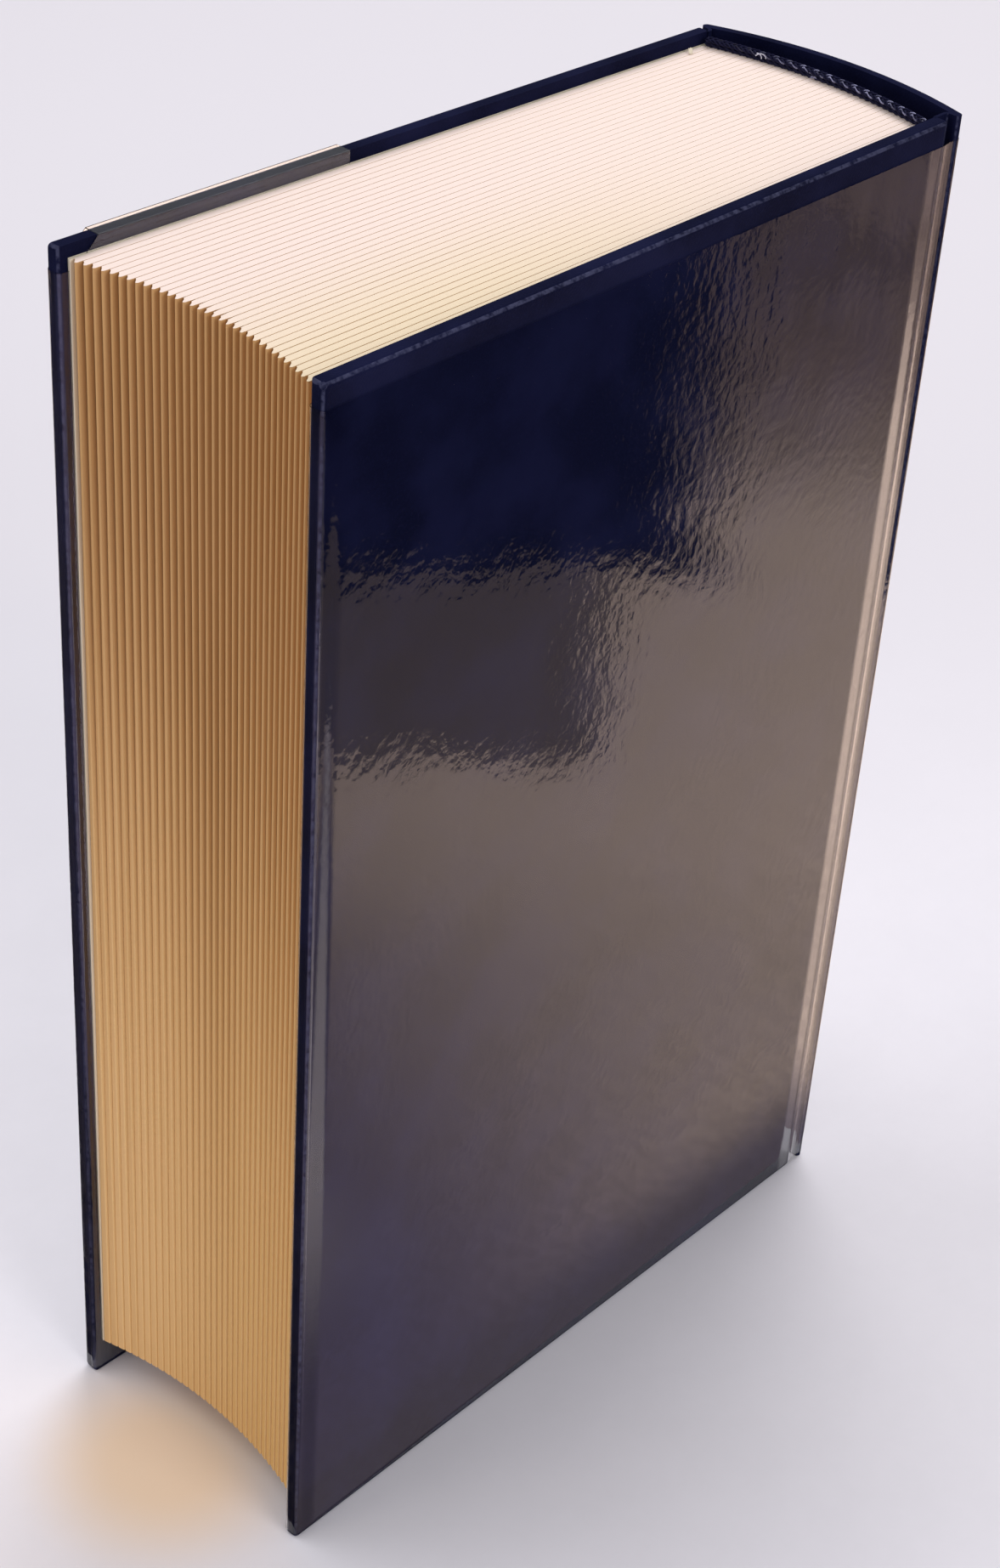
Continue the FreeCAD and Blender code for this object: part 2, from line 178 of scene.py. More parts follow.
PAINTED_GROOVE_LIGHT = (0.97, 0.88, 0.80)        # head: painted light that pales the grooves towards the spine
PAINTED_GAP_LIGHT = (0.84, 0.58, 0.28)        # fore-edge: painted light in the gaps between the sections near the tail
# Pale band thread towards its front end, nearly black
DARK_END_THREAD = (0.014, 0.013, 0.03)
BOARD_DARK, BOARD_LIGHT = (0.20, 0.19, 0.17), (0.42, 0.40, 0.36)
CARD_DARK, CARD_LIGHT = (0.006, 0.006, 0.008), (0.018, 0.017, 0.02)
GAUZE_GLUE, GAUZE_THREAD = (0.42, 0.34, 0.22), (0.78, 0.74, 0.64)
GAUZE_PITCH = 1.1 * MM


def section_place(tree):
    """Position across the sections, counted from the front one, and as a share of the thickness."""
    x, y, z = axes(tree, place(tree))
    run = calc(tree, "SUBTRACT", x, HINGE_EDGE)
    half = calc(tree, "MULTIPLY_ADD", run, math.tan(SPLAY), BLOCK_HALF)
    share = calc(tree, "DIVIDE", y, half)
    count = bpy.context.scene.book_paper.sections
    return calc(tree, "MULTIPLY_ADD", share, count / 2, count / 2), share, x, z


def head_colour(tree, share, x, to_gap, leaves):
    """Head and tail: pale cream, with a thin line of painted shade at each gap that fades towards the
    spine, where painted light pales the grooves.
    """
    paper = bpy.context.scene.book_paper
    yellowed = product(tree, rise(tree, share, -0.4, 1.0), rise(tree, x, -0.06, 0.05))
    # Painted light in the grooves towards the spine, to hide their shade
    painted_groove_light = product(tree, rise(tree, to_gap, 0.7, 0.95),
                     rise(tree, x, BLOCK_HIGH.x - 0.03, BLOCK_LOW.x + 0.04, 0.0, 0.8))
    patchy = rise(tree, noise(tree, place(tree, (8, 600, 8)), 1.0, 2.0), 0.3, 0.7, 0.35, 1.0)
    # Painted shade in the gaps, fading towards the spine
    line = product(tree, rise(tree, to_gap, 0.80, 0.98), patchy,
                   rise(tree, x, BLOCK_LOW.x + 0.03, BLOCK_HIGH.x, 0.05, 1.0),
                   rise(tree, share, -1.0, 1.0, 0.4, 1.0))
    return layered(tree, rgb(paper.head), (yellowed, paper.head_near),
                   (product(tree, leaves, 0.22), paper.leaf_line),
                   (painted_groove_light, PAINTED_GROOVE_LIGHT), (line, paper.gap_shade))


def edge_colour(tree, across, share, z, to_gap, leaves):
    """Fore-edge and back: toned tan, each section a little different, with painted shade towards the
    head and in its gaps, and painted light in the gaps near the tail.
    """
    paper = bpy.context.scene.book_paper
    own = put(tree, "TexWhiteNoise", {"W": calc(tree, "FLOOR", across)},
              noise_dimensions="1D").outputs["Value"]
    cloud = noise(tree, place(tree, (1, 1, 0.6)), 22.0, 3.0)
    high = calc(tree, "DIVIDE", z, BLOCK_HIGH.z)
    low = calc(tree, "SUBTRACT", 1.0, high)
    warm = product(tree, rise(tree, share, -1.0, 0.8, 0.1, 0.8), rise(tree, low, 0.1, 1.0, 0.1, 1.0))
    # Painted light in the gaps near the tail, to hide their shade
    painted_gap_light = product(tree, rise(tree, to_gap, 0.55, 0.9), rise(tree, low, 0.15, 0.7, 0.0, 0.9))
    # Painted shade in the gaps near the head
    gap = product(tree, rise(tree, to_gap, 0.95, 1.0, 0.0, 0.25), high)
    return layered(tree, rgb(paper.edge_dark),
                   (calc(tree, "MULTIPLY_ADD", own, 0.35, 0.5), paper.edge_light),
                   (rise(tree, leaves, 0.35, 0.7, 0.0, 0.3), paper.edge_dark),
                   (rise(tree, cloud, 0.4, 0.65, 0.0, 0.3), paper.edge_light),
                   # Painted shade: darker towards the head
                   (rise(tree, high, 0.1, 1.0, 0.0, 0.5), paper.edge_top_shade),
                   (warm, paper.edge_warm), (painted_gap_light, PAINTED_GAP_LIGHT), (gap, paper.gap_shade))


def page_finish(name):
    material, tree = new_finish(name)
    across, share, x, z = section_place(tree)
    off_centre = calc(tree, "SUBTRACT", calc(tree, "FRACT", across), 0.5)
    to_gap = product(tree, calc(tree, "ABSOLUTE", off_centre), 2.0)
    leaves = noise(tree, place(tree, (20, 9000, 8)), 1.0, 2.0, 0.6)
    fibre = noise(tree, place(tree), 900.0, 4.0)
    head = head_colour(tree, share, x, to_gap, leaves)
    edge = edge_colour(tree, across, share, z, to_gap, leaves)
    colour = blend_colours(tree, rise(tree, facing(tree)[2], 0.5, 0.9), edge, head)
    height = calc(tree, "MULTIPLY_ADD", leaves, 0.7, product(tree, fibre, 0.3))
    matte(tree, colour, 0.88, 0.25, height, 0.06 * MM)
    return material


def paper_finish(name, colour, dark):
    """Uncoated sheet with a fine fibre and slight toning."""
    material, tree = new_finish(name)
    fibre = noise(tree, place(tree), 700.0, 5.0, 0.6)
    cloud = noise(tree, place(tree), 30.0, 3.0)
    shade = layered(tree, rgb(colour), (rise(tree, cloud, 0.35, 0.75, 0.0, 0.4), dark),
                    (rise(tree, fibre, 0.5, 0.8, 0.0, 0.35), dark))
    matte(tree, shade, 0.85, 0.25, fibre, 0.03 * MM, 0.5)
    return material


def weave_height(tree, pitch):
    """Plain weave on every face: threads cross where two axes lie in the face."""
    x, y, z = axes(tree, put(tree, "VectorMath", {0: place(tree), 3: math.pi / pitch},
                             operation="SCALE").outputs[0])
    waves = [calc(tree, "SINE", value) for value in (x, y, z)]
    nx, ny, nz = facing(tree)
    crossed = [product(tree, waves[a], waves[b], n)
               for a, b, n in ((1, 2, nx), (0, 2, ny), (0, 1, nz))]
    return calc(tree, "ADD", calc(tree, "ADD", crossed[0], crossed[1]), crossed[2])


def cloth_finish(name):
    """Navy book cloth: irregular slubs over a faint weave, paler along the rounded edges from wear and
    a painted highlight.
    """
    cloth = bpy.context.scene.book_cloth
    material, tree = new_finish(name)
    slubs = noise(tree, place(tree), 2400.0, 3.0, 0.6)
    cloud = noise(tree, place(tree), 60.0, 4.0)
    rubbed = noise(tree, place(tree), 900.0, 3.0, 0.6)
    # Wear and painted highlight on every rounded edge, in patches
    worn_and_highlit = product(tree, rise(tree, rounded_edge(tree), 0.34, 0.5),
                   rise(tree, rubbed, 0.30, 0.65), cloth.wear_and_highlight)
    shade = layered(tree, rgb(cloth.navy), (rise(tree, cloud, 0.35, 0.7), cloth.navy_light),
                    (rise(tree, slubs, 0.45, 0.75, 0.0, 0.5), cloth.navy_light),
                    (worn_and_highlit, cloth.worn_and_highlit))
    height = calc(tree, "MULTIPLY_ADD", weave_height(tree, cloth.thread_pitch), 0.12, slubs)
    matte(tree, shade, 0.8, 0.07, height, 0.07 * MM, 0.8)
    return material


def film_finish(name):
    """Clear glossy film. It lets lamps through, so that the cloth under it is lit."""
    film = bpy.context.scene.book_film
    material, tree = new_finish(name)
    x, y, z = axes(tree, place(tree))
    waves = noise(tree, place(tree, (1.0, 1.0, 0.7)), 1 / film.wave_size, 2.0, 0.45, 0.4)
    peel = noise(tree, place(tree, (1.0, 1.0, 0.8)), 1 / film.peel_size, 2.0, 0.45)
    grain = noise(tree, place(tree), 1400.0, 2.0)
    near_joint, near_head = rise(tree, x, -0.005, -0.045), rise(tree, z, 0.18, 0.23)
    streaks = product(tree, noise(tree, place(tree, (1.0, 1.0, 0.22)), 150.0, 1.0),
                      near_joint, near_head)
    fold = calc(tree, "MAXIMUM", rise(tree, x, 0.0738, 0.0782), rise(tree, x, -0.0655, -0.0695))
    normal = bump(tree, product(tree, fold, -1.0), film.fold_drop)
    for height, depth in ((waves, film.wave_depth), (streaks, film.streak_depth),
                          (peel, film.peel_depth), (grain, 0.003 * MM)):
        normal = bump(tree, height, depth, 1.0, normal)
    glass = put(tree, "BsdfPrincipled", {
        "Base Color": (0.97, 0.97, 0.98, 1), "Roughness": 0.04, "IOR": 1.48,
        "Transmission Weight": 1.0, "Normal": normal})
    through = put(tree, "BsdfTransparent", {"Color": (0.93, 0.93, 0.94, 1)})
    lamp_rays = put(tree, "LightPath").outputs["Is Shadow Ray"]
    mixed = put(tree, "MixShader", {0: lamp_rays, 1: glass.outputs[0], 2: through.outputs[0]})
    close_finish(tree, mixed.outputs[0])
    return material


def thread_finish(name, colour, light, dark_end=False):
    """Spun thread with a fine fibre. It can be made nearly black towards the front end."""
    material, tree = new_finish(name)
    fibre = noise(tree, place(tree), 5200.0, 2.0)
    shade = blend_colours(tree, rise(tree, fibre, 0.35, 0.75), rgb(colour), rgb(light))
    if dark_end:
        y = axes(tree, place(tree))[1]
        patches = rise(tree, noise(tree, place(tree), 420.0, 2.0), 0.3, 0.55, 0.3, 1.0)
        # The thread darkens towards the front end, in patches
        pale_share = product(tree, rise(tree, y, -0.019, -0.002, 0.06, 1.0), patches)
        shade = blend_colours(tree, pale_share, rgb(DARK_END_THREAD), shade)
    matte(tree, shade, 0.7, 0.15, fibre, 0.05 * MM)
    return material


def board_finish(name):
    """Grey binder's board with flecks of fibre."""
    material, tree = new_finish(name)
    flecks = noise(tree, place(tree), 480.0, 5.0, 0.7)
    shade = layered(tree, rgb(BOARD_DARK), (rise(tree, flecks, 0.35, 0.7), BOARD_LIGHT))
    matte(tree, shade, 0.9, height=flecks, depth=0.08 * MM)
    return material


def card_finish(name):
    """Black card strip with a faint long grain."""
    material, tree = new_finish(name)
    grain = noise(tree, place(tree, (1, 1, 0.08)), 900.0, 3.0)
    shade = layered(tree, rgb(CARD_DARK), (grain, CARD_LIGHT))
    matte(tree, shade, 0.8, height=grain, depth=0.03 * MM, strength=0.5)
    return material


def gauze_finish(name):
    """Open gauze, pasted flat: pale threads over the darker glue between them."""
    material, tree = new_finish(name)
    weave = weave_height(tree, GAUZE_PITCH)
    shade = layered(tree, rgb(GAUZE_GLUE), (rise(tree, weave, -0.2, 0.35), GAUZE_THREAD))
    matte(tree, shade, 0.9, height=weave, depth=0.15 * MM, strength=0.8)
    return material


FINISHES = {}


def finish_of(maker, name, *values):
    """A finish that is made once and then shared."""
    if name not in FINISHES:
        FINISHES[name] = maker(name, *values)
    return FINISHES[name]


# Shape helpers

def copy_of(*nodes):
    """One mesh from copies of CAD nodes, with their loose triangles merged."""
    shape = bmesh.new()
    for node in nodes:
        shape.from_mesh(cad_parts[node].data)
    bmesh.ops.remove_doubles(shape, verts=shape.verts, dist=2e-6)
    return shape


def everything(shape):
    return shape.verts[:] + shape.edges[:] + shape.faces[:]


def cut_across(shape, point, normal):
    """Add a line of vertices where a plane meets the shape."""
    bmesh.ops.bisect_plane(shape, geom=everything(shape), dist=1e-7,
                           plane_co=point, plane_no=normal)


def keep_one_side(shape, point, normal):
    """Cut away what lies on the normal's side of a plane, and close the cut."""
    bmesh.ops.bisect_plane(shape, geom=everything(shape), dist=1e-7, plane_co=point,
                           plane_no=normal, clear_outer=True)
    rims = [edge for edge in shape.edges if edge.is_boundary]
    bmesh.ops.triangle_fill(shape, edges=rims, use_beauty=True)
    bmesh.ops.recalc_face_normals(shape, faces=shape.faces[:])


def add_to(shape, other):
    """Move another shape's faces into this one."""
    mesh = bpy.data.meshes.new("part")
    other.to_mesh(mesh)
    other.free()
    shape.from_mesh(mesh)
    bpy.data.meshes.remove(mesh)


def make_object(name, shape, materials, angle=35.0, level_flats=True):
    mesh = bpy.data.meshes.new(name)
    shape.to_mesh(mesh)
    shape.free()
    mesh.shade_smooth()
    mesh.set_sharp_from_angle(angle=math.radians(angle))
    for face in mesh.polygons:
        if level_flats and max(abs(value) for value in face.normal) > LEVEL:
            face.use_smooth = False
    for material in materials:
        mesh.materials.append(material)
    made = bpy.data.objects.new(name, mesh)
    bpy.context.scene.collection.objects.link(made)
    if level_flats:
        flats = made.modifiers.new("level_flats", "WEIGHTED_NORMAL")
        flats.keep_sharp, flats.mode, flats.weight = True, "FACE_AREA", 60
    return made


def paint_node(node, material):
    """Give a CAD node its finish."""
    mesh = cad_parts[node].data
    mesh.materials.clear()
    mesh.materials.append(material)


# Settings

class ClothSettings(bpy.types.PropertyGroup):
    navy: bpy.props.FloatVectorProperty(
        name="Navy", description="Colour of the book cloth", subtype="COLOR",
        default=(0.0024, 0.0032, 0.017))
    navy_light: bpy.props.FloatVectorProperty(
        name="Light navy", description="Colour of the raised threads", subtype="COLOR",
        default=(0.0070, 0.0085, 0.036))
    # Colour of the rounded edges, partly rubbed cloth and partly a painted highlight
    worn_and_highlit: bpy.props.FloatVectorProperty(
        name="Worn cloth", description="Colour where the rounded edges are rubbed", subtype="COLOR",
        default=(0.10, 0.105, 0.19))
    # Share of that wear and painted highlight on the rounded edges
    wear_and_highlight: bpy.props.FloatProperty(
        name="Wear", description="Share of the rubbed colour on the edges", default=0.45,
        min=0.0, max=1.0, subtype="FACTOR")
    thread_pitch: bpy.props.FloatProperty(
        name="Thread pitch", description="Distance between two threads of the weave",
        default=0.00042, subtype="DISTANCE", unit="LENGTH", precision=5)


class FilmSettings(bpy.types.PropertyGroup):
    wave_size: bpy.props.FloatProperty(
        name="Wave size", description="Length of the slow waves in the film",
        default=0.020, subtype="DISTANCE", unit="LENGTH")
    wave_depth: bpy.props.FloatProperty(
        name="Wave depth", description="Depth of the slow waves",
        default=0.00007, subtype="DISTANCE", unit="LENGTH", precision=5)
    fold_drop: bpy.props.FloatProperty(
        name="Fold drop", description="How far the film falls away beside its folded edges",
        default=0.0009, subtype="DISTANCE", unit="LENGTH", precision=5)
    peel_size: bpy.props.FloatProperty(
        name="Peel size", description="Size of the fine uneven grain",
        default=0.0017, subtype="DISTANCE", unit="LENGTH", precision=4)
    peel_depth: bpy.props.FloatProperty(
        name="Peel depth", description="Depth of the fine uneven grain",
        default=0.00004, subtype="DISTANCE", unit="LENGTH", precision=6)
    streak_depth: bpy.props.FloatProperty(
        name="Streak depth", description="Depth of the upright ripples near the joint",
        default=0.00018, subtype="DISTANCE", unit="LENGTH", precision=5)


class PaperSettings(bpy.types.PropertyGroup):
    sections: bpy.props.IntProperty(
        name="Sections", description="Number of sewn sections", default=34, min=1)
    head: bpy.props.FloatVectorProperty(
        name="Head", description="Trimmed head of the pages", subtype="COLOR",
        default=(0.87, 0.72, 0.67))
    head_near: bpy.props.FloatVectorProperty(
        name="Head, rear", description="Head of the pages near the rear cover", subtype="COLOR",
        default=(0.80, 0.66, 0.47))
    leaf_line: bpy.props.FloatVectorProperty(
        name="Leaf line", description="Faint lines between leaves", subtype="COLOR",
        default=(0.66, 0.58, 0.44))
    # Painted shade in the gaps between two sections
    gap_shade: bpy.props.FloatVectorProperty(
        name="Gap line", description="Line between two sections", subtype="COLOR",
        default=(0.24, 0.15, 0.05))
    edge_light: bpy.props.FloatVectorProperty(
        name="Edge, light", description="Toned fore-edge, lighter leaves", subtype="COLOR",
        default=(0.74, 0.47, 0.23))
    edge_dark: bpy.props.FloatVectorProperty(
        name="Edge, dark", description="Toned fore-edge, darker leaves", subtype="COLOR",
        default=(0.55, 0.31, 0.12))
    edge_warm: bpy.props.FloatVectorProperty(
        name="Edge, warm", description="Yellower fore-edge near the tail", subtype="COLOR",
        default=(0.57, 0.325, 0.10))
    # Painted shade of the fore-edge near the head
    edge_top_shade: bpy.props.FloatVectorProperty(
        name="Edge, top", description="Toning of the fore-edge near the head", subtype="COLOR",
        default=(0.40, 0.21, 0.08))
    endpaper: bpy.props.FloatVectorProperty(
        name="Endpaper", description="Endpapers", subtype="COLOR",
        default=(0.84, 0.75, 0.60))


class BandSettings(bpy.types.PropertyGroup):
    navy: bpy.props.FloatVectorProperty(
        name="Navy thread", description="Dark thread of the bands", subtype="COLOR",
        default=(0.007, 0.007, 0.026))
    pale: bpy.props.FloatVectorProperty(
        name="Pale thread", description="Light thread of the bands", subtype="COLOR",
        default=(0.20, 0.20, 0.34))
    pale_light: bpy.props.FloatVectorProperty(
        name="Pale thread, light", description="Raised fibres of the light thread", subtype="COLOR",
        default=(0.42, 0.42, 0.60))
    strand_radius: bpy.props.FloatProperty(
        name="Strand radius", description="Radius of one strand",
        default=0.00023, subtype="DISTANCE", unit="LENGTH", precision=5)
    twist_length: bpy.props.FloatProperty(
        name="Twist length", description="Length of one full twist",
        default=0.0029, subtype="DISTANCE", unit="LENGTH", precision=4)


class StageSettings(bpy.types.PropertyGroup):
    floor: bpy.props.FloatVectorProperty(
        name="Floor", description="Colour of the floor and backdrop", subtype="COLOR",
        default=(0.80, 0.78, 0.84))
    lens: bpy.props.FloatProperty(
        name="Lens", description="Focal length for a 36 mm sensor", default=66.24,
        subtype="DISTANCE_CAMERA", unit="CAMERA")


# Stage

CAMERA_PLACE = (0.3292811, 0.2891618, 0.4255012)
CAMERA_TURN = Matrix(((-0.68964118, -0.38264154, 0.61480118),
                      (0.72192671, -0.42978256, 0.54231797),
                      (0.05671745, 0.8178462, 0.5726349)))
SENSOR_WIDTH = 36.0
FLOOR_HALF, FLOOR_LEVEL = 3.0, -0.05 * MM
# Painted bounce light: centre and colour of a warm pool on the floor under the fore-edge
PAINTED_BOUNCE_CENTRE, PAINTED_BOUNCE_COLOUR = (0.084, -0.001, 0.0), (0.84, 0.64, 0.44)

# Name, place, aim, size, power in watts and colour of each lamp
LAMPS = (
    ("key_lamp", (-0.8, -0.45, 1.3), (0, 0, 0.1), 1.1, 12.0, (1.0, 0.98, 0.98)),
    ("front_lamp", (0.5, -0.7, 1.25), (0.15, -0.15, 0), 0.9, 5.0, (0.98, 0.98, 1.0)),
    ("rear_lamp", (0.1, 1.3, 0.8), (0, 0, 0.12), 0.9, 8.0, (1.0, 0.96, 0.93)),
    ("fore_lamp", (1.0, -0.28, 0.3), (0.07, 0, 0.08), 0.4, 1.9, (1.0, 0.93, 0.84)))

# The card of painted reflection has three parts round the foot of the book: each from x to x and from y
# to y
CARD_LEVEL = 0.4 * MM
CARD_PARTS = ((-2.6, 0.8, 0.0309, 1.8), (-2.6, -0.081, -1.6, 0.0309), (0.081, 2.0, -1.6, 0.0309))

# Its painted dark reflections: corner point, softness of the border and strength
PAINTED_DARK_CORNERS = (((-0.252, 0.198), 0.014, 1.0), ((-0.159, 0.161), 0.006, 0.74))
PAINTED_DARK_BORDERS = ((-0.607, 0.794), (0.604, 0.797))


def floor_finish(name, colour):
    """Pale floor, with painted shade that darkens it far behind the book, and a painted pool of warm
    bounce light under the hollow fore-edge.
    """
    material, tree = new_finish(name)
    specks = noise(tree, place(tree), 24.0, 6.0, 0.75)
    x, y, z = axes(tree, place(tree))
    # Painted shade: the floor darkens far behind the book
    far = rise(tree, calc(tree, "ADD", x, y), 0.0, -0.5)
    # Painted pool of warm bounce light under the hollow fore-edge
    spot = put(tree, "VectorMath", {0: place(tree), 1: PAINTED_BOUNCE_CENTRE}, operation="DISTANCE")
    painted_bounce = rise(tree, spot.outputs["Value"], 0.031, 0.008, 0.0, 0.8)
    shade = layered(tree, rgb(colour),
                    (rise(tree, specks, 0.3, 0.7), [value * 0.97 for value in colour]),
                    (far, [value * 0.84 for value in colour]), (painted_bounce, PAINTED_BOUNCE_COLOUR))
    matte(tree, shade, 0.8, 0.2)
    return material


def painted_dark_corners(tree, x, y):
    """Share of the painted dark reflections: each lies behind two wavy borders that meet in its corner
    point.
    """
    ripple = calc(tree, "SUBTRACT", noise(tree, place(tree), 45.0, 3.0), 0.5)
    dark = 0.0
    for corner, softness, strength in PAINTED_DARK_CORNERS:
        share = strength
        for along_x, along_y in PAINTED_DARK_BORDERS:
            across = calc(tree, "ADD",
                          product(tree, calc(tree, "SUBTRACT", x, corner[0]), along_x),
                          product(tree, calc(tree, "SUBTRACT", y, corner[1]), along_y))
            wavy = calc(tree, "MULTIPLY_ADD", ripple, 0.03, across)
            share = product(tree, share, rise(tree, wavy, -softness, softness))
        dark = calc(tree, "MAXIMUM", dark, share)
    return dark


def painted_reflection_glow(name):
    """Painted reflection: the glow of the card. It gives no light, since only the gloss of the film
    sees it.
    """
    material, tree = new_finish(name)
    x, y, z = axes(tree, place(tree))
    away = product(tree, x, -1.0)
    slanted = calc(tree, "MULTIPLY_ADD", y, 0.8, away)
    left = rise(tree, calc(tree, "SUBTRACT", away, product(tree, y, 0.12)), -0.045, 0.10)
    middle = rise(tree, slanted, 0.16, 0.26)
    side = product(tree, rise(tree, y, 0.06, 0.13), rise(tree, away, 0.0, -0.04),
                   rise(tree, x, 0.13, 0.09))
    foot = product(tree, rise(tree, y, 0.050, 0.033), rise(tree, away, 0.12, 0.08))
    behind = product(tree, rise(tree, y, 0.0315, 0.0307), rise(tree, x, 0.0, 0.05))
    mottle = rise(tree, noise(tree, place(tree), 330.0, 3.0, 0.6), 0.35, 0.65, 0.0, 0.22)
    beyond = rise(tree, slanted, 0.44, 0.60)
    haze = rise(tree, noise(tree, place(tree), 14.0, 3.0, 0.6), 0.42, 0.62, 0.0, 0.6)
    # Every region of this glow is a painted reflection: pale room, brighter bands, a darker foot, a
    # dark band behind the cover and dark corners
    colour = layered(tree, rgb((0.52, 0.42, 0.62)),
                     (left, (1.60, 1.22, 1.02)), (middle, (2.05, 1.56, 1.30)),
                     (side, (2.3, 2.0, 2.1)), (foot, (0.45, 0.37, 0.42)),
                     (behind, (0.03, 0.026, 0.03)), (mottle, (0.35, 0.28, 0.28)),
                     (beyond, (0.72, 0.51, 0.44)),
                     (product(tree, haze, beyond), (0.30, 0.21, 0.19)),
                     (painted_dark_corners(tree, x, y), (0.016, 0.02, 0.06)))
    light = put(tree, "Emission", {"Color": colour, "Strength": 1.0})
    close_finish(tree, light.outputs[0])
    material.cycles.emission_sampling = "NONE"
    return material


def studio_world():
    """White to the camera, and a weaker soft light to everything else."""
    world = bpy.data.worlds.new("studio")
    world.use_nodes = True
    sky = world.node_tree
    sky.nodes.clear()
    rays = put(sky, "LightPath")
    soft = put(sky, "Background", {"Color": (0.96, 0.97, 1.0, 1), "Strength": 0.47})
    white = put(sky, "Background", {"Color": (0.93, 0.92, 0.96, 1), "Strength": 1.0})
    mixed = put(sky, "MixShader", {0: rays.outputs["Is Camera Ray"], 1: soft.outputs[0],
                                   2: white.outputs[0]})
    put(sky, "OutputWorld", {"Surface": mixed.outputs[0]})
    return world


class BOOK_OT_stage(bpy.types.Operator):
    """Make the camera, floor, lamps and the glowing card that paints the film's reflection"""
    bl_idname = "book.stage"
    bl_label = "Stage"

    def execute(self, context):
        stage = context.scene.book_stage
        camera = bpy.data.cameras.new("camera")
        camera.lens = stage.lens
        camera.sensor_width = SENSOR_WIDTH
        camera.clip_start, camera.clip_end = 0.01, 20.0
        seen = bpy.data.objects.new("camera", camera)
        seen.matrix_world = Matrix.Translation(CAMERA_PLACE) @ CAMERA_TURN.to_4x4()
        context.scene.collection.objects.link(seen)
        context.scene.camera = seen

        shape = bmesh.new()
        bmesh.ops.create_grid(shape, x_segments=8, y_segments=8, size=FLOOR_HALF,
                              matrix=Matrix.Translation((0, 0, FLOOR_LEVEL)))
        floor = make_object("floor", shape, [floor_finish("table", stage.floor)])

        card = self.painted_reflection_card()

        context.scene.world = studio_world()
        for name, spot, aim, size, power, colour in LAMPS:
            lamp = bpy.data.lights.new(name, "AREA")
            lamp.shape, lamp.size = "DISK", size
            lamp.energy, lamp.color = power, colour
            held = bpy.data.objects.new(name, lamp)
            held.location = spot
            direction = Vector(aim) - Vector(spot)
            held.rotation_euler = direction.to_track_quat("-Z", "Y").to_euler()
            held.visible_glossy = held.visible_camera = False
            context.scene.collection.objects.link(held)
        return {"FINISHED"}

    def painted_reflection_card(self):
        """Glowing card on the table that only shows in the gloss of the film: a painted reflection,
        pale with dark corners.
        """
        shape = bmesh.new()
        for x0, x1, y0, y1 in CARD_PARTS:
            bmesh.ops.create_grid(
                shape, x_segments=1, y_segments=1, size=0.5,
                matrix=Matrix.Translation(((x0 + x1) / 2, (y0 + y1) / 2, CARD_LEVEL))
                @ Matrix.Diagonal((x1 - x0, y1 - y0, 1, 1)))
        card = make_object("painted_reflection_card", shape, [painted_reflection_glow("painted_reflection_card")])
        card.visible_camera = False
        card.visible_diffuse = False
        card.visible_shadow = False
        card.visible_volume_scatter = False
        return card


# Pieces

class BOOK_OT_pages(bpy.types.Operator):
    """Finish the text block, what is glued to its back, and the boards"""
    bl_idname = "book.pages"
    bl_label = "Pages"

    def execute(self, context):
        kraft = finish_of(paper_finish, "kraft_lining", (0.45, 0.31, 0.18), (0.30, 0.19, 0.10))
        paint_node("text_block", finish_of(page_finish, "trimmed_pages"))
        paint_node("spine_mull", finish_of(gauze_finish, "gauze"))
        paint_node("spine_lining", kraft)
        paint_node("spine_strip", finish_of(card_finish, "black_card"))
        for side in ("front", "rear"):
            paint_node(side + "_board", finish_of(board_finish, "binders_board"))
        return {"FINISHED"}


# Cuts across the fold of each endpaper at its joint
FOLD_CUTS = 24


class BOOK_OT_endpapers(bpy.types.Operator):
    """Make each endpaper one folded sheet across its joint"""
    bl_idname = "book.endpapers"
    bl_label = "Endpapers"

    def execute(self, context):
        colour = context.scene.book_paper.endpaper
        material = finish_of(paper_finish, "endpaper_sheet", colour, [value * 0.86 for value in colour])
        for side, sign in (("front", -1), ("rear", 1)):
            shape = copy_of(side + "_pastedown", side + "_flyleaf")
            near = HINGE_EDGE + 2.4 * MM
            ends = [face for face in shape.faces
                    if face.normal.x < -0.95 and face.calc_center_median().x < near]
            bmesh.ops.delete(shape, geom=ends, context="FACES")
            rims = [edge for edge in shape.edges if edge.is_boundary]
            made = bmesh.ops.bridge_loops(shape, edges=rims)
            bmesh.ops.subdivide_edges(shape, edges=made["edges"], cuts=FOLD_CUTS,
                                      use_grid_fill=True)
            sheet = make_object(side + "_endpaper", shape, [material])
            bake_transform(sheet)
            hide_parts(side + "_pastedown", side + "_flyleaf")
        return {"FINISHED"}


# Where the spine's skin folds at each shoulder, and where the cuts through the joint of the cloth and
# the film start
SHOULDERS = {"front": Vector((-0.0721, -0.0274, 0)), "rear": Vector((-0.0748, 0.0268, 0))}
JOINT_CUTS = 22

# The rear shoulder of the cloth is pressed against the film: from SHOULDER_LOW on it moves outward
SHOULDER_LOW, SHOULDER_RISE, SHOULDER_END = 26.2 * MM, 1.1 * MM, -0.0729
SHOULDER_SHIFT = Vector((0.24, 0.97, 0)) * 0.6 * MM

# Cuts across the film, about every 10 mm, so that its gloss is shaded evenly
FILM_COLUMNS, FILM_COLUMN_STEP = 14, 10.2 * MM
FILM_ROWS, FILM_ROW_STEP = 23, 10.0 * MM


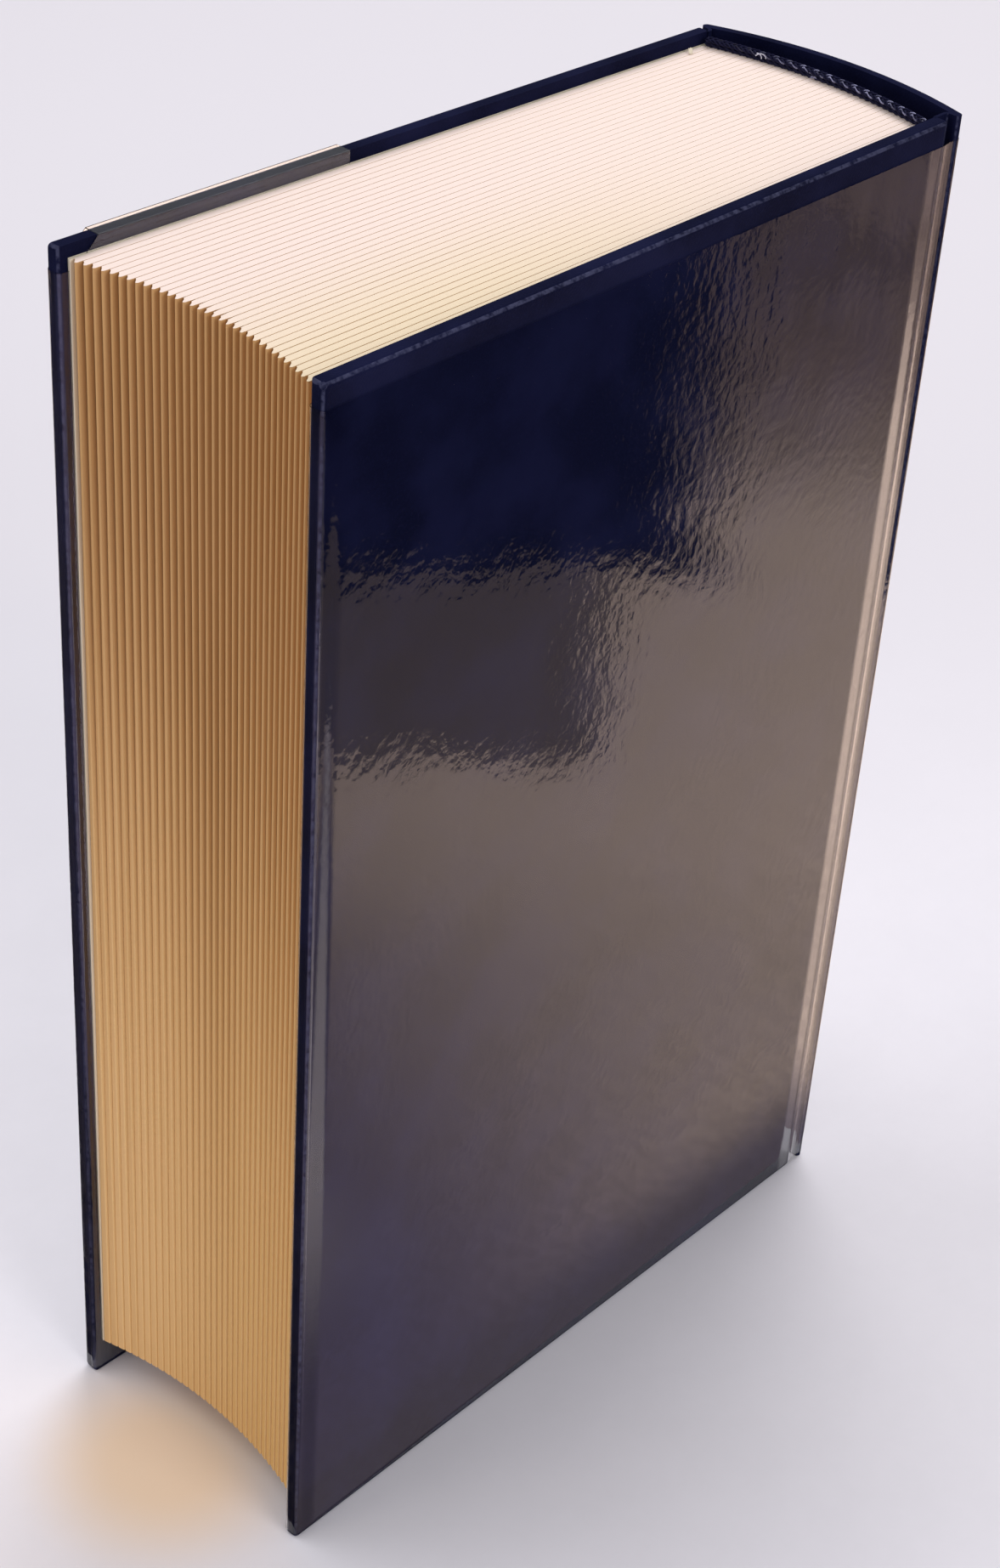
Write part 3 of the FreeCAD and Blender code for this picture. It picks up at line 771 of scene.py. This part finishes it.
def joint_cuts(shape, shoulder):
    """Lines of vertices through the joint, close together."""
    for step in range(JOINT_CUTS + 1):
        x = shoulder + (HINGE_EDGE - 0.05 * MM - shoulder) * step / JOINT_CUTS
        cut_across(shape, (x, 0, 0), (1, 0, 0))


def spine_share(side, node):
    """Part of the spine's skin that goes with one cover. The front shoulder's fold divides it."""
    shape = copy_of(node)
    outward = Vector((1, -1, 0)).normalized()
    keep_one_side(shape, SHOULDERS["front"], outward if side == "rear" else -outward)
    return shape


def tuck_spine_end(shape):
    """Draw the end of the spine's cloth, 0.1 mm short of the cover, under the cover's cloth."""
    for corner in shape.verts:
        if abs(corner.co.x - (HINGE_EDGE - 0.1 * MM)) < 0.02 * MM:
            corner.co.x = HINGE_EDGE + 0.25 * MM


def press_rear_shoulder(shape):
    """Press the cloth of the rear shoulder close under the film."""
    for corner in shape.verts:
        share = min(max((corner.co.y - SHOULDER_LOW) / SHOULDER_RISE, 0.0), 1.0)
        if corner.co.x < SHOULDER_END:
            corner.co += SHOULDER_SHIFT * share


class BOOK_OT_cloth(bpy.types.Operator):
    """Make the book cloth one skin over each cover, its joint and the spine"""
    bl_idname = "book.cloth"
    bl_label = "Cloth"

    def execute(self, context):
        material = finish_of(cloth_finish, "navy_weave")
        for side in ("front", "rear"):
            shape = spine_share(side, "spine_cloth")
            tuck_spine_end(shape)
            joint_cuts(shape, SHOULDERS[side].x)
            if side == "rear":
                press_rear_shoulder(shape)
            add_to(shape, copy_of(side + "_cover_cloth"))
            cloth = make_object(side + "_cloth", shape, [material])
            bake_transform(cloth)
            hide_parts(side + "_cover_cloth")
            if side == "rear":
                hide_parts("spine_cloth")
        return {"FINISHED"}


class BOOK_OT_film(bpy.types.Operator):
    """Make the clear jacket one skin over each cover, its joint and the spine"""
    bl_idname = "book.film"
    bl_label = "Film"

    def execute(self, context):
        material = finish_of(film_finish, "glossy_film")
        for side in ("front", "rear"):
            shape = spine_share(side, "spine_film")
            add_to(shape, copy_of(side + "_jacket_film"))
            ends = [face for face in shape.faces if abs(face.normal.x) > 0.95
                    and abs(face.calc_center_median().x - HINGE_EDGE) < 0.15 * MM]
            bmesh.ops.delete(shape, geom=ends, context="FACES")
            rims = [edge for edge in shape.edges if edge.is_boundary]
            bmesh.ops.bridge_loops(shape, edges=rims)
            bmesh.ops.recalc_face_normals(shape, faces=shape.faces[:])
            joint_cuts(shape, SHOULDERS[side].x)
            for step in range(FILM_COLUMNS):
                cut_across(shape, (HINGE_EDGE + (step + 0.7) * FILM_COLUMN_STEP, 0, 0), (1, 0, 0))
            for step in range(FILM_ROWS):
                cut_across(shape, (0, 0, (step + 1) * FILM_ROW_STEP), (0, 0, 1))
            film = make_object(side + "_jacket", shape, [material])
            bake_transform(film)
            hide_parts(side + "_jacket_film")
            if side == "rear":
                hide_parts("spine_film")
        return {"FINISHED"}


# The bands lie on an arc with this centre, radius and angle to each side
BAND_CENTRE_X, BAND_RUN, BAND_HALF_ANGLE = BLOCK_LOW.x + 0.09871, 0.09851, math.radians(14.3)
CORE_RADIUS, CORE_DROP = 0.56 * MM, 0.38 * MM
CORD_OFFSET, CORD_LIFT, CORD_ORBIT = 0.40 * MM, 0.42 * MM, 0.24 * MM
BAND_MIDDLE = 0.98 * MM                # middle of the band above the edge of the pages
PALE_SHARE = 0.72                      # radius of the pale strand against the navy ones
LOOSE_RADIUS = 0.09 * MM

# Loose loops of thread on the headband: x, y, height over the pages, reach, lean, start and angle
LOOSE_LOOPS = ((-0.0690, -0.0124, 1.0 * MM, 1.15 * MM, 2.5, -0.2, -2.2),
               (-0.0694, -0.0132, 1.1 * MM, 0.8 * MM, 1.7, 0.0, -1.9))


def wound_strand(start_angle, hand, offset, height, radius, orbit, twist):
    """One strand of a twisted cord: a circle spun forward along a helix, laid on the spine's arc."""
    length = 2 * BAND_HALF_ANGLE * BAND_RUN
    turns = length / twist
    strand = bmesh.new()
    seat = Matrix.Rotation(start_angle, 4, "Z") @ Matrix.Translation((orbit, 0, 0)) \
        @ Matrix.Rotation(math.radians(90), 4, "X")
    bmesh.ops.create_circle(strand, cap_ends=True, segments=7, radius=radius, matrix=seat)
    steps = int(turns * 12)
    bmesh.ops.spin(strand, geom=everything(strand), cent=(0, 0, 0), axis=(0, 0, 1),
                   angle=hand * 2 * math.pi * turns, steps=steps, dvec=(0, 0, length / steps))
    for point in strand.verts:
        angle = point.co.z / BAND_RUN - BAND_HALF_ANGLE
        reach = BAND_RUN + offset + point.co.x
        point.co = Vector((BAND_CENTRE_X - reach * math.cos(angle), reach * math.sin(angle),
                           height + point.co.y))
    bmesh.ops.recalc_face_normals(strand, faces=strand.faces[:])
    return strand


def loose_loop(centre, reach, lean, start, angle):
    """One loose loop of thread: a small circle spun part of the way round."""
    loop = bmesh.new()
    seat = Matrix.Translation(centre) @ Matrix.Rotation(lean, 4, "Z") \
        @ Matrix.Rotation(start, 4, "Y") @ Matrix.Translation((reach, 0, 0))
    bmesh.ops.create_circle(loop, cap_ends=True, segments=7, radius=LOOSE_RADIUS, matrix=seat)
    axis = Matrix.Rotation(lean, 3, "Z") @ Vector((0, 1, 0))
    bmesh.ops.spin(loop, geom=everything(loop), cent=centre, axis=axis, angle=angle, steps=20)
    bmesh.ops.recalc_face_normals(loop, faces=loop.faces[:])
    return loop


def add_in_finish(shape, other, index):
    """Add another shape's faces in the finish with the given index."""
    first_face = len(shape.faces)
    add_to(shape, other)
    shape.faces.ensure_lookup_table()
    for face in shape.faces[first_face:]:
        face.material_index = index


class BOOK_OT_bands(bpy.types.Operator):
    """Make the head and tail bands from twisted strands on a tape"""
    bl_idname = "book.bands"
    bl_label = "Bands"

    def execute(self, context):
        band = context.scene.book_band
        finishes = [
            finish_of(thread_finish, "navy_thread", band.navy, (0.014, 0.014, 0.045)),
            finish_of(thread_finish, "pale_thread", band.pale, band.pale_light, True),
            finish_of(thread_finish, "frayed_thread", (0.42, 0.42, 0.52), (0.70, 0.70, 0.78))]
        navy, pale, frayed = range(3)
        for node, edge, outward in (("headband", BLOCK_HIGH.z, 1), ("tailband", BLOCK_LOW.z, -1)):
            shape = copy_of(node)
            keep_one_side(shape, (0, 0, edge - outward * 0.1 * MM), (0, 0, outward))
            middle = edge + outward * BAND_MIDDLE
            add_to(shape, wound_strand(0, 1, 0, middle - outward * CORE_DROP, CORE_RADIUS, 0,
                                       band.twist_length))
            for row, hand in ((-1, 1), (1, -1)):
                for strand in range(3):
                    radius = band.strand_radius * (PALE_SHARE if strand == 0 else 1.0)
                    add_in_finish(shape, wound_strand(
                        math.radians(120 * strand + 40), hand, row * CORD_OFFSET,
                        middle + outward * CORD_LIFT, radius, CORD_ORBIT, band.twist_length),
                        pale if strand == 0 else navy)
            if outward > 0:
                for x, y, height, reach, lean, start, angle in LOOSE_LOOPS:
                    loop = loose_loop(Vector((x, y, edge + height)), reach, lean, start, angle)
                    add_in_finish(shape, loop, frayed)
            threads = make_object(node + "_threads", shape, finishes, 60.0)
            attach(threads, "book_block")
            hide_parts(node)
        return {"FINISHED"}


SCRAP_PLACE, SCRAP_LIFT = (-0.0634, -0.0238), 0.55 * MM
SCRAP_TURN, SCRAP_TILT = math.radians(50), math.radians(38)
SCRAP_HALF, SCRAP_THICKNESS, SCRAP_CURL = 0.6 * MM, 0.1 * MM, 0.12 * MM


class BOOK_OT_scrap(bpy.types.Operator):
    """Lay the torn scrap of paper at the far corner of the head"""
    bl_idname = "book.scrap"
    bl_label = "Scrap"

    def execute(self, context):
        shape = bmesh.new()
        seat = Matrix.Translation((*SCRAP_PLACE, BLOCK_HIGH.z + SCRAP_LIFT)) \
            @ Matrix.Rotation(SCRAP_TURN, 4, "Z") @ Matrix.Rotation(SCRAP_TILT, 4, "Y") \
            @ Matrix.Diagonal((1.0, 0.6, 1.0, 1.0))
        bmesh.ops.create_grid(shape, x_segments=6, y_segments=4, size=SCRAP_HALF, matrix=seat)
        bmesh.ops.solidify(shape, geom=shape.faces[:], thickness=SCRAP_THICKNESS)
        for index, corner in enumerate(shape.verts):
            corner.co.z += SCRAP_CURL * math.sin(index * 2.4)
        bmesh.ops.recalc_face_normals(shape, faces=shape.faces[:])
        colour = context.scene.book_paper.endpaper
        material = finish_of(paper_finish, "torn_paper", colour, [value * 0.7 for value in colour])
        scrap = make_object("paper_scrap", shape, [material])
        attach(scrap, "book_block")
        return {"FINISHED"}


class BOOK_PT_panel(bpy.types.Panel):
    """List of the book's pieces"""
    bl_idname = "BOOK_PT_panel"
    bl_label = "Book"
    bl_space_type = "VIEW_3D"
    bl_region_type = "UI"
    bl_category = "Book"

    def draw(self, context):
        for operator in OPERATORS:
            self.layout.operator(operator.bl_idname)
        for name in SETTINGS:
            group = getattr(context.scene, name)
            for key in group.bl_rna.properties.keys():
                if key not in ("rna_type", "name"):
                    self.layout.prop(group, key)


SETTINGS = {"book_cloth": ClothSettings, "book_film": FilmSettings, "book_paper": PaperSettings,
            "book_band": BandSettings, "book_stage": StageSettings}
OPERATORS = (BOOK_OT_stage, BOOK_OT_pages, BOOK_OT_endpapers, BOOK_OT_cloth, BOOK_OT_film,
             BOOK_OT_bands, BOOK_OT_scrap)


def register():
    for name, group in SETTINGS.items():
        bpy.utils.register_class(group)
        setattr(bpy.types.Scene, name, bpy.props.PointerProperty(type=group))
    for made in OPERATORS + (BOOK_PT_panel,):
        bpy.utils.register_class(made)


def unregister():
    for made in reversed(OPERATORS + (BOOK_PT_panel,)):
        bpy.utils.unregister_class(made)
    for name, group in SETTINGS.items():
        delattr(bpy.types.Scene, name)
        bpy.utils.unregister_class(group)


def main():
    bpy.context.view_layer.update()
    register()
    bpy.context.scene.view_settings.view_transform = "Standard"
    for operator in OPERATORS:
        group, name = operator.bl_idname.split(".")
        getattr(getattr(bpy.ops, group), name)()


if __name__ == "__main__":
    main()
